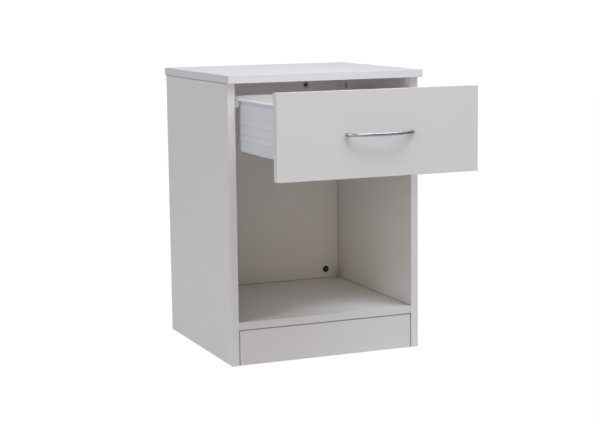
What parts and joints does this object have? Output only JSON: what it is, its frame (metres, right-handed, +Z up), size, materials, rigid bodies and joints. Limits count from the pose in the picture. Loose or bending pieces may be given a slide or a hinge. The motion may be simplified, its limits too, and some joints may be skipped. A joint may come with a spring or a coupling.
{
  "type": "bedside cabinet",
  "caption": "White bedside cabinet with a bow-handled drawer over an open compartment, plinth front, drawer drawn out.",
  "frame": {"origin": "on the floor, at the centre of the carcass footprint", "axes": "+Z up; +Y from the drawer front towards the wall behind; +X to the right of someone who faces the front; the drawer slides along Y"},
  "size_m": [0.406, 0.645, 0.56],
  "materials": {
    "faced_board": "white melamine-faced chipboard, satin",
    "edge_banding": "white edge banding, satin",
    "coated_hardboard": "white lacquered hardboard, satin",
    "drawer_profile": "white extruded plastic, semi-gloss",
    "runner_plastic": "cream moulded plastic, satin",
    "moulded_plastic": "white moulded plastic, satin",
    "bright_zinc": "die-cast zinc, as cast",
    "black_zinc": "die-cast zinc, blackened",
    "plated_steel": "zinc-plated steel",
    "beech": "plain beech, unfinished",
    "satin_chrome": "satin chrome"
  },
  "bodies": {
    "carcass": {"back_panel": "faced_board", "back_panel_lower_cam_locks": "black_zinc", "back_panel_upper_cam_locks": "bright_zinc", "bottom_shelf": "faced_board", "bottom_shelf_edging": "edge_banding", "cam_bolts": "plated_steel", "left_runner": "runner_plastic", "left_side_panel": "faced_board", "left_side_panel_edging": "edge_banding", "plinth": "faced_board", "plinth_cam_locks": "bright_zinc", "right_runner": "runner_plastic", "right_side_panel": "faced_board", "right_side_panel_edging": "edge_banding", "runner_screws": "plated_steel", "shelf_cam_locks": "bright_zinc", "side_panel_cam_locks": "bright_zinc", "top_panel": "faced_board", "top_panel_edging": "edge_banding", "wooden_dowels": "beech"},
    "drawer": {"bracket_screws": "plated_steel", "drawer_back": "drawer_profile", "drawer_bottom": "coated_hardboard", "drawer_front": "faced_board", "drawer_front_edging": "edge_banding", "drawer_left_front_bracket": "moulded_plastic", "drawer_left_rear_corner": "moulded_plastic", "drawer_left_side": "drawer_profile", "drawer_right_front_bracket": "moulded_plastic", "drawer_right_rear_corner": "moulded_plastic", "drawer_right_side": "drawer_profile", "handle": "satin_chrome", "handle_screws": "plated_steel"}
  },
  "joints": [
    {"name": "drawer_slide", "type": "slide", "parent": "carcass", "child": "drawer", "axis": [0, -1, 0], "range_m": [-0.2294, 0]}
  ]
}
